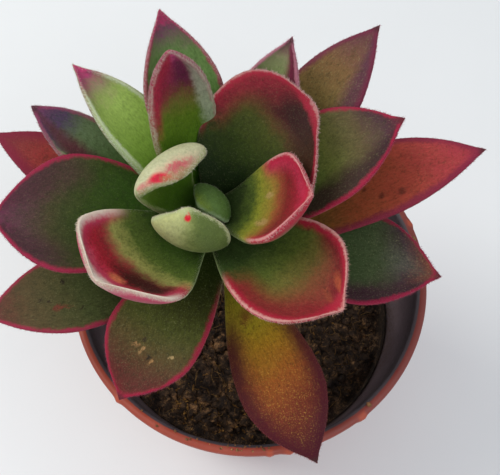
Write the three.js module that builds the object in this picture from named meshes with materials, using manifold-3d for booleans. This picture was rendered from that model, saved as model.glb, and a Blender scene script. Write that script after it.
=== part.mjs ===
import * as THREE from 'three';
import { mergeVertices } from 'three/addons/utils/BufferGeometryUtils.js';
import Module from 'manifold-3d';

const wasm = await Module();
wasm.setup();

// A hairy rosette succulent in a small nursery pot. Millimetres, +Z up, pot standing on z = 0,
// the side seen in the photograph faces -Y.

// clearance left between neighbouring pieces, and how far a leaf is cut back to keep it
const gap = 0.3;
const cutBack = 0.38;

// pot
const potHeight = 70;
const rimRadius = 42.5;
const lipDepth = 2.4;
const lipOverhang = 1.5;
const footRadius = 28.8;
const wall = 1.0;
const floorThickness = 1.2;
const drainHoles = 8;
const drainRadius = 2.5;
const drainCircle = 22.5;
const potSides = 56;

// soil, higher on the left than on the right
const soilLevel = 47;
const soilFall = 0.17;
const soilSwell = 0.8;
const soilSides = 40;

// stem, leaning to the left as it rises
const stemFoot = new THREE.Vector3(-1, 0, 55);
const stemLean = new THREE.Vector2(-7.5 / 57, -0.5 / 57);
const stemRadius = 4.2;
const stemTaper = 0.11;
const stemBottom = 38;
const stemTop = 106.2;
const stemSides = 20;

// leaf facets
const sectionPoints = 12;
const leafRings = 11;
const midribSteps = 48;

// shape shared by all leaves unless a leaf says otherwise; angles in degrees
const plainLeaf = {
  base: 0.36,
  peak: 0.62,
  blunt: 1.9,
  taper: 1.15,
  thick: 4,
  below: 0.62,
  roll: 0,
  swing: 0,
  hook: 0,
  out: 0.9,
};

// heading counter-clockwise from +X, height of the base, rise of the midrib at base and tip,
// length, width, cupping of the blade at base and tip
const leaves = {
  leaf_young_1: {
    heading: 239, height: 105.8, rise: 2, tipRise: 135, length: 17.5, width: 16, cup: 40,
    tipCup: 20, swing: 28, thick: 5.5, base: 0.3, peak: 0.56, blunt: 2.6, taper: 0.6,
  },
  leaf_young_2: {
    heading: 161, height: 104, rise: 6, tipRise: 155, length: 23.5, width: 16.5, cup: 45,
    tipCup: 10, swing: -38, hook: 20, thick: 6.5, below: 0.7, base: 0.26, peak: 0.8, blunt: 2.6,
    taper: 0.55,
  },
  leaf_inner_1: {
    heading: 219, height: 104, rise: -10, tipRise: 60, length: 30.5, width: 28, cup: 45, tipCup: 45,
    swing: 10, base: 0.26, peak: 0.7, blunt: 3.4, taper: 0.6,
  },
  leaf_inner_2: {
    heading: 347, height: 106, rise: 20, tipRise: 62, length: 23.5, width: 21.6, cup: 50,
    tipCup: 50, peak: 0.68, blunt: 2.6, taper: 0.7,
  },
  leaf_inner_3: {
    heading: 125, height: 95, rise: 44, tipRise: 88, length: 45, width: 15.5, cup: 30, tipCup: 50,
    swing: -37, hook: 20, roll: -20, thick: 5, below: 0.5, peak: 0.54, blunt: 2.2, taper: 0.6,
  },
  leaf_inner_4: {
    heading: 57, height: 101.2, rise: 44, tipRise: 38, length: 30, width: 30.5, cup: 42, tipCup: 30,
    swing: -46, roll: -12, base: 0.28, peak: 0.62, blunt: 2.6, taper: 0.6,
  },
  leaf_inner_5: {
    heading: 312.5, height: 103, rise: 8, tipRise: 24, length: 32.5, width: 25.3, cup: 50,
    tipCup: 40, swing: 8, peak: 0.62, blunt: 2.6, taper: 0.8,
  },
  leaf_middle_1: {
    heading: 181, height: 98, rise: 16, tipRise: 2, length: 44, width: 28, cup: 35, tipCup: 25,
  },
  leaf_middle_2: {
    heading: 139.5, height: 95, rise: 46, tipRise: 28, length: 43.5, width: 14.5, cup: 70, tipCup: 70,
  },
  leaf_middle_3: {
    heading: 152.5, height: 79.3, rise: 46, tipRise: 28, length: 53, width: 13.5, cup: 45, tipCup: 35,
    roll: 10, blunt: 2.4, taper: 0.8,
  },
  leaf_middle_4: {
    heading: 111.5, height: 86, rise: 50, tipRise: 60, length: 52.5, width: 19, cup: 60, tipCup: 60,
    peak: 0.68,
  },
  leaf_middle_5: {
    heading: 64, height: 92, rise: 54, tipRise: 42, length: 43, width: 17, cup: 60, tipCup: 60,
  },
  leaf_middle_6: {
    heading: 238, height: 92, rise: 8, tipRise: -25, length: 37, width: 21, cup: 25, tipCup: 25,
  },
  leaf_middle_7: {
    heading: 21, height: 95, rise: 47, tipRise: 19, length: 43, width: 21, cup: 30, tipCup: 25,
  },
  leaf_middle_8: {
    heading: 347, height: 91, rise: 14, tipRise: 0, length: 43, width: 22, cup: 30, tipCup: 25,
  },
  leaf_outer_1: {
    heading: 288, height: 78, rise: 14, tipRise: -20, length: 45, width: 19, cup: 10, tipCup: -10,
    swing: 9,
  },
  leaf_outer_2: {
    heading: 198, height: 82, rise: 14, tipRise: 2, length: 51, width: 19, cup: 20, tipCup: 15,
  },
  leaf_outer_3: {
    heading: 157, height: 79, rise: 32, tipRise: 10, length: 57, width: 16, cup: 25, tipCup: 15,
  },
  leaf_outer_4: {
    heading: 47, height: 86, rise: 58, tipRise: 24, length: 56, width: 17, cup: 30, tipCup: 15,
  },
  leaf_outer_5: {
    heading: 13, height: 82, rise: 54, tipRise: 3, length: 59, width: 17, cup: 20, tipCup: 10,
  },
  leaf_outer_6: {
    heading: 110, height: 76, rise: 25, tipRise: 15, length: 50, width: 21, cup: 20, tipCup: 15,
  },
};

// three closed leaflets of the growing point, grown together at their feet
const leaflets = [
  {
    heading: 38, height: 105, rise: 30, tipRise: 200, length: 11.5, width: 11, cup: 50, tipCup: 40,
    thick: 3, peak: 0.55, blunt: 2.2, taper: 0.7, out: -0.1,
  },
  {
    heading: 190, height: 105, rise: 60, tipRise: 125, length: 8, width: 7, cup: 60, tipCup: 40,
    thick: 2.2, peak: 0.55, blunt: 2.4, taper: 0.7, out: 0.6,
  },
  {
    heading: 290, height: 105, rise: 50, tipRise: 130, length: 8, width: 6, cup: 50, tipCup: 40,
    thick: 2, peak: 0.55, blunt: 2.2, taper: 0.7, out: 0.5,
  },
];

const rad = THREE.MathUtils.degToRad;
const mix = THREE.MathUtils.lerp;

// the stem thins towards the growing point
function stemRadiusAt(z) {
  return Math.max(stemRadius - Math.max(0, z - 88) * stemTaper, stemRadius / 2);
}

function stemAxis(z) {
  const up = z - stemFoot.z;
  return new THREE.Vector3(stemFoot.x + stemLean.x * up, stemFoot.y + stemLean.y * up, z);
}

// share of the full width at the place v along the leaf, 0 at the base and 1 at the tip
function widthShare(leaf, v) {
  if (v < leaf.peak) {
    return leaf.base + (1 - leaf.base) * Math.sin(0.5 * Math.PI * v / leaf.peak) ** 1.25;
  }
  const u = (v - leaf.peak) / (1 - leaf.peak);
  return Math.max(0, 1 - u ** leaf.blunt) ** leaf.taper;
}

function midrib(leaf) {
  const heading = rad(leaf.heading);
  const place = stemAxis(leaf.height);
  const start = stemRadiusAt(leaf.height) * leaf.out;
  place.x += Math.cos(heading) * start;
  place.y += Math.sin(heading) * start;
  const stations = [];
  for (let i = 0; i <= midribSteps; i++) {
    const v = i / midribSteps;
    const curl = leaf.hook * Math.max(0, (v - 0.7) / 0.3) ** 2;
    const rise = rad(mix(leaf.rise, leaf.tipRise, v) + curl);
    const turn = rad(leaf.heading + leaf.swing * v);
    const along = new THREE.Vector3(
      Math.cos(turn) * Math.cos(rise), Math.sin(turn) * Math.cos(rise), Math.sin(rise));
    const side = new THREE.Vector3(Math.sin(turn), -Math.cos(turn), 0);
    const up = new THREE.Vector3().crossVectors(side, along);
    side.applyAxisAngle(along, -rad(leaf.roll));
    up.applyAxisAngle(along, -rad(leaf.roll));
    stations.push({ place: place.clone(), side, up });
    place.addScaledVector(along, leaf.length / midribSteps);
  }
  return stations;
}

function stationAt(stations, v) {
  const f = v * midribSteps;
  const i = Math.min(Math.floor(f), midribSteps - 1);
  const a = stations[i];
  const b = stations[i + 1];
  return {
    place: a.place.clone().lerp(b.place, f - i),
    side: a.side.clone().lerp(b.side, f - i).normalize(),
    up: a.up.clone().lerp(b.up, f - i).normalize(),
  };
}

// a ball drawn out along the midrib, its section bent into a cupped lens
function leafGeometry(sizes, around = sectionPoints, rings = leafRings) {
  const leaf = { ...plainLeaf, ...sizes };
  const stations = midrib(leaf);
  const geometry = new THREE.SphereGeometry(1, around, rings);
  const spots = geometry.attributes.position;
  for (let i = 0; i < spots.count; i++) {
    const v = (1 - spots.getY(i)) / 2;
    const { place, side, up } = stationAt(stations, v);
    if (v > 1e-6 && v < 1 - 1e-6) {
      const turn = Math.atan2(-spots.getZ(i), spots.getX(i));
      const share = widthShare(leaf, v);
      const half = leaf.width / 2 * share;
      const bend = rad(mix(leaf.cup, leaf.tipCup, v)) || 1e-3;
      const thick = leaf.thick * share ** 0.55 * (1 - 0.45 * v);
      const across = Math.cos(turn);
      const angle = across * bend;
      const rise = Math.sin(turn);
      const skin = thick * (rise < 0 ? leaf.below : 1 - leaf.below) * rise;
      place.addScaledVector(side, half / bend * Math.sin(angle) - Math.sin(angle) * skin);
      place.addScaledVector(up, half / bend * (1 - Math.cos(angle)) + Math.cos(angle) * skin);
    }
    spots.setXYZ(i, place.x, place.y, place.z);
  }
  return geometry;
}

function clean(geometry) {
  const bare = geometry.clone();
  bare.deleteAttribute('normal');
  bare.deleteAttribute('uv');
  return mergeVertices(bare, 1e-4);
}

// every point moved outwards by the clearance, for cutting a neighbour back
function swollen(geometry, by) {
  const grown = clean(geometry);
  grown.computeVertexNormals();
  const spots = grown.attributes.position;
  const normals = grown.attributes.normal;
  for (let i = 0; i < spots.count; i++) {
    spots.setXYZ(
      i,
      spots.getX(i) + normals.getX(i) * by,
      spots.getY(i) + normals.getY(i) * by,
      spots.getZ(i) + normals.getZ(i) * by,
    );
  }
  return grown;
}

function toSolid(geometry) {
  const bare = clean(geometry);
  return new wasm.Manifold(new wasm.Mesh({
    numProp: 3,
    vertProperties: Float32Array.from(bare.attributes.position.array),
    triVerts: Uint32Array.from(bare.index.array),
  }));
}

// cutting can leave loose chips at a leaf's foot, only the leaf itself is kept
function largest(solid) {
  return solid.decompose().reduce((best, each) => (each.volume() > best.volume() ? each : best));
}

function toMesh(solid, name, look) {
  const { vertProperties, triVerts, numProp } = solid.getMesh();
  const geometry = new THREE.BufferGeometry();
  const points = new Float32Array(vertProperties.length / numProp * 3);
  for (let i = 0; i < points.length / 3; i++) {
    points[3 * i] = vertProperties[numProp * i];
    points[3 * i + 1] = vertProperties[numProp * i + 1];
    points[3 * i + 2] = vertProperties[numProp * i + 2];
  }
  geometry.setAttribute('position', new THREE.BufferAttribute(points, 3));
  geometry.setIndex(new THREE.BufferAttribute(Uint32Array.from(triVerts), 1));
  const mesh = new THREE.Mesh(geometry, new THREE.MeshStandardMaterial(look));
  mesh.name = name;
  return mesh;
}

function turned(profile, sides) {
  const points = profile.map(([r, z]) => new THREE.Vector2(r, z));
  const geometry = new THREE.LatheGeometry(points, sides);
  geometry.rotateX(Math.PI / 2);
  return geometry;
}

// outer radius of the tapered wall
function wallRadius(z) {
  return mix(footRadius, rimRadius - lipOverhang, z / (potHeight - lipDepth));
}

function potSolid() {
  const under = potHeight - lipDepth;
  const inner = wallRadius(under) - wall;
  const profile = [
    [0, 0],
    [footRadius - 1.2, 0],
    [footRadius - 0.3, 0.4],
    [wallRadius(1.4), 1.4],
    [wallRadius(under), under],
    [rimRadius - 0.4, under + 0.3],
    [rimRadius, under + 0.9],
    [rimRadius, potHeight - 0.7],
    [rimRadius - 0.5, potHeight - 0.15],
    [rimRadius - 1.2, potHeight],
    [inner + 0.4, potHeight - 0.3],
    [inner, potHeight - 1.1],
    [inner, under],
    [wallRadius(3) - wall, 3],
    [footRadius - 1.6, floorThickness],
    [0, floorThickness],
  ];
  let pot = toSolid(turned(profile, potSides));
  for (let i = 0; i < drainHoles; i++) {
    const angle = 2 * Math.PI * (i + 0.5) / drainHoles;
    const drill = new THREE.CylinderGeometry(drainRadius, drainRadius, 4, 12);
    drill.rotateX(Math.PI / 2);
    drill.translate(drainCircle * Math.cos(angle), drainCircle * Math.sin(angle), 0.6);
    pot = pot.subtract(toSolid(drill));
  }
  return pot;
}

function stemGeometry() {
  const profile = [
    [0, stemBottom],
    [stemRadius - 0.6, stemBottom],
    [stemRadius, stemBottom + 1.5],
    [stemRadiusAt(88), 88],
    [stemRadiusAt(96), 96],
    [stemRadiusAt(stemTop - 1), stemTop - 1],
    [0, stemTop],
  ];
  const geometry = turned(profile, stemSides);
  const spots = geometry.attributes.position;
  for (let i = 0; i < spots.count; i++) {
    const axis = stemAxis(spots.getZ(i));
    spots.setXY(i, spots.getX(i) + axis.x, spots.getY(i) + axis.y);
  }
  return geometry;
}

function soilHeight(x, y) {
  const lumps = Math.sin(0.31 * x + 1.2) * Math.cos(0.27 * y) + 0.6 * Math.sin(0.5 * y - 0.37 * x);
  return soilLevel - soilFall * x + soilSwell * lumps;
}

function soilSolid() {
  const edge = wallRadius(soilLevel) - wall - gap;
  const profile = [
    [0, floorThickness + gap],
    [footRadius - 2.4, floorThickness + gap],
    [wallRadius(3.6) - wall - gap - 0.1, 3.6],
    [edge, soilLevel],
  ];
  for (const share of [0.88, 0.74, 0.6, 0.45, 0.3, 0.16, 0]) {
    profile.push([edge * share, soilLevel]);
  }
  const geometry = turned(profile, soilSides);
  const spots = geometry.attributes.position;
  for (let i = 0; i < spots.count; i++) {
    const x = spots.getX(i);
    const y = spots.getY(i);
    if (spots.getZ(i) > soilLevel - 0.01) {
      const z = soilHeight(x, y);
      const atWall = Math.hypot(x, y) > edge - 0.01;
      const reach = atWall ? (wallRadius(z) - wall - gap) / edge : 1;
      spots.setXYZ(i, x * reach, y * reach, z);
    }
  }
  const hole = swollen(stemGeometry(), gap);
  return toSolid(geometry).subtract(toSolid(hole));
}

function heartSolid() {
  const bud = leaflets.map((leaflet) => toSolid(leafGeometry(leaflet, 8, 7)));
  const stem = toSolid(swollen(stemGeometry(), cutBack));
  return largest(wasm.Manifold.union(bud).subtract(stem));
}

const part = new THREE.Group();
part.name = 'potted_succulent';
part.add(toMesh(potSolid(), 'pot', { color: 0xa84b37, roughness: 0.5, metalness: 0 }));
part.add(toMesh(soilSolid(), 'soil', { color: 0x241b15, roughness: 1, metalness: 0 }));
part.add(toMesh(toSolid(stemGeometry()), 'stem', { color: 0x6f6a3c, roughness: 0.8, metalness: 0 }));

const heart = heartSolid();
part.add(toMesh(heart, 'heart_bud', { color: 0x5f8a55, roughness: 0.8, metalness: 0 }));

// the youngest leaves keep their full form, every older one is cut back where it would press
// into the stem, the bud or a younger leaf
const kept = [swollen(stemGeometry(), cutBack)].map(toSolid);
for (const leaflet of leaflets) {
  kept.push(toSolid(swollen(leafGeometry(leaflet, 8, 7), cutBack)));
}
for (const [name, sizes] of Object.entries(leaves)) {
  const geometry = leafGeometry(sizes);
  let blade = toSolid(geometry);
  for (const other of kept) {
    if (blade.intersect(other).volume() > 0) {
      blade = blade.subtract(other);
    }
  }
  kept.push(toSolid(swollen(geometry, cutBack)));
  part.add(toMesh(largest(blade), name, { color: 0x5d6f35, roughness: 0.75, metalness: 0 }));
}

export default part;
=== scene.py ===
import math
import random

import bmesh
import bpy
from mathutils import Matrix, Quaternion, Vector, noise


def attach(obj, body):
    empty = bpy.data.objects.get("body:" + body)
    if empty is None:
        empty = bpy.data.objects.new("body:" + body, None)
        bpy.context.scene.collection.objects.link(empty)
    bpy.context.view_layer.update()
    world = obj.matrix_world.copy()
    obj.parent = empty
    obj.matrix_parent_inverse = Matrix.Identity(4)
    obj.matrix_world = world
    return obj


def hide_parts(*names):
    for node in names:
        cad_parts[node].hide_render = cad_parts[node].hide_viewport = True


# Hairy rosette succulent in a small nursery pot. The sizes in the dictionaries are
# millimetres and degrees, and the meshes are metres.

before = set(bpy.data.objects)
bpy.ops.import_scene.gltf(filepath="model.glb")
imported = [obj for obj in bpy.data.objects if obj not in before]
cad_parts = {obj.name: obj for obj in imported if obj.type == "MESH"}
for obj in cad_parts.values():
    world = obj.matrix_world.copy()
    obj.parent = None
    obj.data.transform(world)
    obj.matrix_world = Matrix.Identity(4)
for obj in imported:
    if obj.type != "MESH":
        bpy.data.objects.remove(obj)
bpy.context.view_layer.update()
mm = 0.001
print("frame loaded:", len(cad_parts), "nodes")

camera = {"place": (0, -80.1, 264.6), "aim": (0, 10.4, 70), "lens": 62.8, "sensor": 36}


def makeCamera():
    data = bpy.data.cameras.new("camera")
    data.lens = camera["lens"]
    data.sensor_width = camera["sensor"]
    data.clip_start = 0.01
    made = bpy.data.objects.new("camera", data)
    place, aim = Vector(camera["place"]) * mm, Vector(camera["aim"]) * mm
    made.location = place
    made.rotation_euler = (aim - place).to_track_quat("-Z", "Y").to_euler()
    bpy.context.scene.collection.objects.link(made)
    bpy.context.scene.camera = made


class Wire:
    # an output socket that can stand in a sum, so that node maths reads as plain maths
    def __init__(self, net, socket):
        self.net, self.socket = net, socket

    def __add__(self, other):
        return self.net.maths("ADD", self, other)

    def __sub__(self, other):
        return self.net.maths("SUBTRACT", self, other)

    def __rsub__(self, other):
        return self.net.maths("SUBTRACT", other, self)

    def __mul__(self, other):
        return self.net.maths("MULTIPLY", self, other)

    def __truediv__(self, other):
        return self.net.maths("DIVIDE", self, other)

    __radd__, __rmul__ = __add__, __mul__

    def output(self, name):
        return Wire(self.net, self.socket.node.outputs[name])


class Net:
    # a node tree of either kind
    def __init__(self, tree):
        self.tree = tree

    def node(self, kind, settings=None, inputs=None, output=0):
        made = self.tree.nodes.new(kind)
        for name, value in (settings or {}).items():
            if name == "stops":
                self.fillRamp(made.color_ramp, value)
            else:
                setattr(made, name, value)
        pairs = inputs.items() if isinstance(inputs, dict) else enumerate(inputs or ())
        for name, value in pairs:
            if isinstance(value, Wire):
                self.tree.links.new(value.socket, made.inputs[name])
            else:
                made.inputs[name].default_value = value
        return Wire(self, made.outputs[output]) if len(made.outputs) else made

    def fillRamp(self, ramp, stops):
        while len(ramp.elements) < len(stops):
            ramp.elements.new(1)
        for element, (place, colour) in zip(ramp.elements, stops):
            element.position = place
            element.color = rgb(*colour)

    def maths(self, operation, *values):
        return self.node("ShaderNodeMath", {"operation": operation}, values)

    def soft(self, value, low, high):
        # 0 at low and 1 at high, low may be the larger
        return self.node("ShaderNodeMapRange", {"interpolation_type": "SMOOTHSTEP"},
                         {"Value": value, "From Min": low, "From Max": high})

    def mix(self, share, first, second):
        return self.node("ShaderNodeMix", {"data_type": "RGBA"},
                         {0: share, 6: first, 7: second}, 2)

    def ramp(self, value, stops):
        return self.node("ShaderNodeValToRGB", {"stops": stops}, [value])

    def parts(self, vector):
        split = self.node("ShaderNodeSeparateXYZ", {}, [vector])
        return [split.output(name) for name in "XYZ"]

    def place(self):
        return self.node("ShaderNodeTexCoord", output="Object")

    def grain(self, size, detail=2.0, rough=0.5, centre=(0, 0, 0), stretch=(1, 1, 1)):
        # noise whose lumps are about this many millimetres across
        moved = self.node("ShaderNodeMapping", {}, {
            "Vector": self.place(), "Location": centre, "Scale": stretch})
        return self.node("ShaderNodeTexNoise", {}, {
            "Vector": moved, "Scale": 1 / (size * mm), "Detail": detail, "Roughness": rough})

    def nap(self, wide, long):
        # streaks that lie along a leaf, sized as shares of its half width and its length
        moved = self.node("ShaderNodeMapping", {}, {
            "Vector": self.attribute("leafPlace", "Vector"), "Scale": (1 / wide, 1 / long, 1)})
        return self.node("ShaderNodeTexNoise", {}, {
            "Vector": moved, "Scale": 1.0, "Detail": 3.0, "Roughness": 0.7})

    def attribute(self, name, output="Fac"):
        return self.node("ShaderNodeAttribute", {"attribute_name": name}, output=output)


def rgb(red, green, blue):
    # screen colour to the linear one that nodes take
    def linear(part):
        share = part / 255
        return share / 12.92 if share < 0.04045 else ((share + 0.055) / 1.055) ** 2.4
    return (linear(red), linear(green), linear(blue), 1.0)


def newMaterial(name, fixed):
    material = bpy.data.materials.new(name)
    material.use_nodes = True
    net = Net(material.node_tree)
    surface = material.node_tree.nodes["Principled BSDF"]
    for socket, value in fixed.items():
        surface.inputs[socket].default_value = value
    return material, net, surface


def feed(net, surface, sockets):
    for name, wire in sockets.items():
        net.tree.links.new(wire.socket, surface.inputs[name])


def bump(net, height, distance, strength=1.0):
    return net.node("ShaderNodeBump", {}, {
        "Height": height, "Distance": distance * mm, "Strength": strength}, "Normal")


def finishMesh(name, bm, materials, smooth=True):
    data = bpy.data.meshes.new(name)
    # a sphere has its faces in another order in each run, and a scatter goes by that order
    bm.verts.index_update()
    bm.faces.sort(key=lambda face: sum(vert.index ** 3 for vert in face.verts))
    bm.to_mesh(data)
    bm.free()
    for face in data.polygons:
        face.use_smooth = smooth
    for material in materials:
        data.materials.append(material)
    made = bpy.data.objects.new(name, data)
    bpy.context.scene.collection.objects.link(made)
    return made


def dress(piece, slot, *nodes):
    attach(piece, "root")
    if nodes:
        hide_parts(*nodes)
    return piece


def mixed(first, second, share):
    return first + (second - first) * share


def eased(value, low, high):
    share = min(1, max(0, (value - low) / (high - low)))
    return share * share * (3 - 2 * share)


def spun(bm, profile, steps):
    # a closed profile of (radius, height) turned about the upright axis
    verts = [bm.verts.new((r * mm, 0, z * mm)) for r, z in profile]
    edges = [bm.edges.new(pair) for pair in zip(verts, verts[1:])]
    bmesh.ops.spin(bm, geom=verts + edges, cent=(0, 0, 0), axis=(0, 0, 1), dvec=(0, 0, 0),
                   angle=2 * math.pi, steps=steps, use_merge=True)
    bmesh.ops.remove_doubles(bm, verts=bm.verts, dist=1e-7)
    bmesh.ops.recalc_face_normals(bm, faces=bm.faces)


def divided(profile, longest):
    # more points on the long stretches of a profile
    points = [profile[0]]
    for (r0, z0), (r1, z1) in zip(profile, profile[1:]):
        parts = max(1, math.ceil(math.hypot(r1 - r0, z1 - z0) / longest))
        for i in range(1, parts + 1):
            points.append((mixed(r0, r1, i / parts), mixed(z0, z1, i / parts)))
    return points


def scatter(name, ground, shapes, materials, settings):
    # copies of the shapes over the ground's mesh, made one real mesh
    source = bpy.data.collections.new(name + "_shapes")
    for shape in shapes:
        source.objects.link(shape)
    net = Net(bpy.data.node_groups.new(name, "GeometryNodeTree"))
    net.tree.interface.new_socket("Geometry", in_out="INPUT", socket_type="NodeSocketGeometry")
    net.tree.interface.new_socket("Geometry", in_out="OUTPUT", socket_type="NodeSocketGeometry")
    surface = net.node("NodeGroupInput")

    def field(named, kind="FLOAT"):
        return net.node("GeometryNodeInputNamedAttribute", {"data_type": kind}, {"Name": named})

    def chance(low, high, seed, kind="FLOAT"):
        number = 2 if kind == "FLOAT" else 0
        return net.node("FunctionNodeRandomValue", {"data_type": kind},
                        {number: low, number + 1: high, "Seed": seed}, number // 2)

    seed = settings["seed"]
    density = settings["perMm2"] / mm ** 2
    if "shareBy" in settings:
        density = field(settings["shareBy"]) * density
    points = net.node("GeometryNodeDistributePointsOnFaces", {}, {
        "Mesh": surface, "Density": density, "Seed": seed})
    normal = points.output("Normal")
    size = chance(settings["size"][0] * mm, settings["size"][1] * mm, seed + 1)
    if "sizeBy" in settings:
        size = size * field(settings["sizeBy"])
    if "lean" in settings:
        spread = settings["spread"]
        stray = chance((-spread,) * 3, (spread,) * 3, seed + 2, "FLOAT_VECTOR")
        lean = net.node("ShaderNodeVectorMath", {"operation": "SCALE"}, {
            0: field(settings["lean"], "FLOAT_VECTOR"), "Scale": settings["leaning"]})
        heading = net.node("ShaderNodeVectorMath", {"operation": "ADD"}, [normal, lean])
        heading = net.node("ShaderNodeVectorMath", {"operation": "ADD"}, [heading, stray])
        turn = net.node("FunctionNodeAlignRotationToVector", {"axis": "Z"}, {"Vector": heading})
    else:
        anyTurn = (6.3,) * 3  # just over a full turn about each axis
        turn = chance((0, 0, 0), anyTurn, seed + 2, "FLOAT_VECTOR")
    picked = net.node("GeometryNodeCollectionInfo", {}, {
        "Collection": source, "Separate Children": True, "Reset Children": True})
    copies = net.node("GeometryNodeInstanceOnPoints", {}, {
        "Points": points, "Instance": picked, "Pick Instance": True, "Rotation": turn,
        "Scale": size})
    real = net.node("GeometryNodeRealizeInstances", {}, [copies])
    net.node("NodeGroupOutput", {}, [real])

    carrier = bpy.data.objects.new(name + "_carrier", ground.data)
    bpy.context.scene.collection.objects.link(carrier)
    carrier.modifiers.new("scatter", "NODES").node_group = net.tree
    bpy.context.view_layer.update()
    view = bpy.context.evaluated_depsgraph_get()
    data = bpy.data.meshes.new_from_object(carrier.evaluated_get(view), depsgraph=view,
                                           preserve_all_data_layers=True)
    bpy.data.objects.remove(carrier)
    data.name = name
    data.materials.clear()
    for material in materials:
        data.materials.append(material)
    made = bpy.data.objects.new(name, data)
    bpy.context.scene.collection.objects.link(made)
    return made


def dropShapes(shapes):
    for shape in shapes:
        bpy.data.objects.remove(shape)


stem = {
    "foot": (-1, 0, 55), "lean": (-7.5 / 57, -0.5 / 57), "radius": 4.2, "taper": 0.11,
    "bottom": 38, "top": 106.2, "sides": 64, "bark": 0.35, "scars": 26,
}

crimson, cream, dryTip = (146, 26, 62), (204, 202, 176), (58, 38, 38)
# the colour of the hairs, that of the margin's hairs, and how far in those reach
paleHairs = ((206, 208, 180), (214, 208, 186), 1.1)
redHairs = ((176, 182, 148), (164, 48, 84), 0.8)
greenBack = [(0, (104, 126, 66)), (0.6, (114, 130, 78)), (0.9, (132, 78, 76))]
redBack = [(0, (104, 114, 58)), (0.5, (116, 90, 60)), (0.9, (106, 40, 54))]

# run and back are the colours from base to tip on the face and on the back, margin is a colour
# and its width, rim is a colour, its width and its share
plainLeaf = dict(
    base=0.36, peak=0.62, blunt=1.9, taper=0.95, thick=4, below=0.62, roll=0, swing=0, hook=0,
    out=0.9, mucro=0.8, ripple=0.16, plump=0.75,
    back=greenBack, bow=0.04, slant=0, patches=(), marginFrom=(0.12, 0.4), marginTo=None,
    marginLean=0, marginShare=0.9, rim=None, tip=dryTip, hairGlints=0.3, hairGlintColour=(158, 162, 112),
    pitShade=0.3, pitShadeColour=(40, 34, 20), nap=1.0, hairs=redHairs, hairPale=0.3, rimHair=0.85)
leafKinds = {
    "young": dict(slot="young_leaf", onFace=0.6, onBack=0.8, onRim=2.2, faceLong=0.7, rimLong=1.0,
                  tip=None, hairs=paleHairs, hairGlints=0.1, pitShade=0.08, nap=0.5, bow=0.1),
    "inner": dict(slot="leaf", onFace=0.3, onBack=0.35, onRim=3.2, faceLong=0.7, rimLong=1.3,
                  tip=None),
    "mature": dict(slot="leaf", onFace=0.2, onBack=0.15, onRim=3.2, faceLong=0.6, rimLong=1.2),
    "old": dict(slot="old_leaf", onFace=0.16, onBack=0.12, onRim=3.0, faceLong=0.5, rimLong=1.1,
                back=redBack),
    "bud": dict(slot="young_leaf", onFace=0.5, onBack=0.6, onRim=0.8, faceLong=0.5, rimLong=0.5,
                tip=None, hairs=paleHairs, hairGlints=0.08, pitShade=0.08, nap=0.5, bow=0.0),
}
leafDetail = {"around": 54, "along": 52, "steps": 96}


def stemRadiusAt(z):
    return max(stem["radius"] - max(0, z - 88) * stem["taper"], stem["radius"] / 2)


def stemAxis(z):
    x, y, foot = stem["foot"]
    leanX, leanY = stem["lean"]
    return Vector((x + leanX * (z - foot), y + leanY * (z - foot), z))


class Leaf:
    # the same form as the leaf's node: a ball drawn out along a midrib
    def __init__(self, sizes):
        self.sizes = {**plainLeaf, **sizes}
        self.stations = self.midrib()

    def midrib(self):
        leaf, steps = self.sizes, leafDetail["steps"]
        heading = math.radians(leaf["heading"])
        start = stemRadiusAt(leaf["height"]) * leaf["out"]
        place = stemAxis(leaf["height"])
        place += Vector((math.cos(heading), math.sin(heading), 0)) * start
        stations = []
        for i in range(steps + 1):
            v = i / steps
            curl = leaf["hook"] * max(0, (v - 0.7) / 0.3) ** 2
            rise = math.radians(mixed(leaf["rise"], leaf["tipRise"], v) + curl)
            turn = math.radians(leaf["heading"] + leaf["swing"] * v)
            along = Vector((math.cos(turn) * math.cos(rise), math.sin(turn) * math.cos(rise),
                            math.sin(rise)))
            side = Vector((math.sin(turn), -math.cos(turn), 0))
            rolled = Quaternion(along, -math.radians(leaf["roll"]))
            up = rolled @ side.cross(along)
            stations.append((place.copy(), rolled @ side, up, along))
            place += along * (leaf["length"] / steps)
        return stations

    def station(self, v):
        f = min(v, 1) * leafDetail["steps"]
        i = min(int(f), leafDetail["steps"] - 1)
        first, second = self.stations[i], self.stations[i + 1]
        place, side, up, along = (a.lerp(b, f - i) for a, b in zip(first, second))
        return place, side.normalized(), up.normalized(), along.normalized()

    def half(self, v):
        leaf = self.sizes
        if v < leaf["peak"]:
            rising = math.sin(0.5 * math.pi * v / leaf["peak"]) ** 1.25
            share = leaf["base"] + (1 - leaf["base"]) * rising
        else:
            u = (v - leaf["peak"]) / (1 - leaf["peak"])
            share = max(0, 1 - u ** leaf["blunt"]) ** leaf["taper"]
        return share, leaf["width"] / 2 * share

    def point(self, v, turn):
        # turn runs round the section: 0 and 180 are the margins, 90 the middle of the face
        leaf = self.sizes
        place, side, up, along = self.station(v)
        share, half = self.half(v)
        across, face = math.cos(turn), math.sin(turn)
        if 1e-6 < v < 1 - 1e-6:
            bend = math.radians(mixed(leaf["cup"], leaf["tipCup"], v)) or 1e-3
            thick = leaf["thick"] * share ** 0.55 * (1 - 0.45 * v)
            angle = across * bend
            plump = math.copysign(abs(face) ** leaf["plump"], face)
            skin = thick * (leaf["below"] if face < 0 else 1 - leaf["below"]) * plump
            seed = leaf["heading"] * 0.37
            ripple = noise.noise(Vector((across * 1.3 + seed, v * 5, face)))
            skin += leaf["ripple"] * ripple * share
            outward = half / bend * math.sin(angle) - math.sin(angle) * skin
            place = place + side * outward
            place += up * (half / bend * (1 - math.cos(angle)) + math.cos(angle) * skin)
        place = place + along * leaf["mucro"] * max(0, (v - 0.965) / 0.035) ** 1.5
        return place, half


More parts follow.
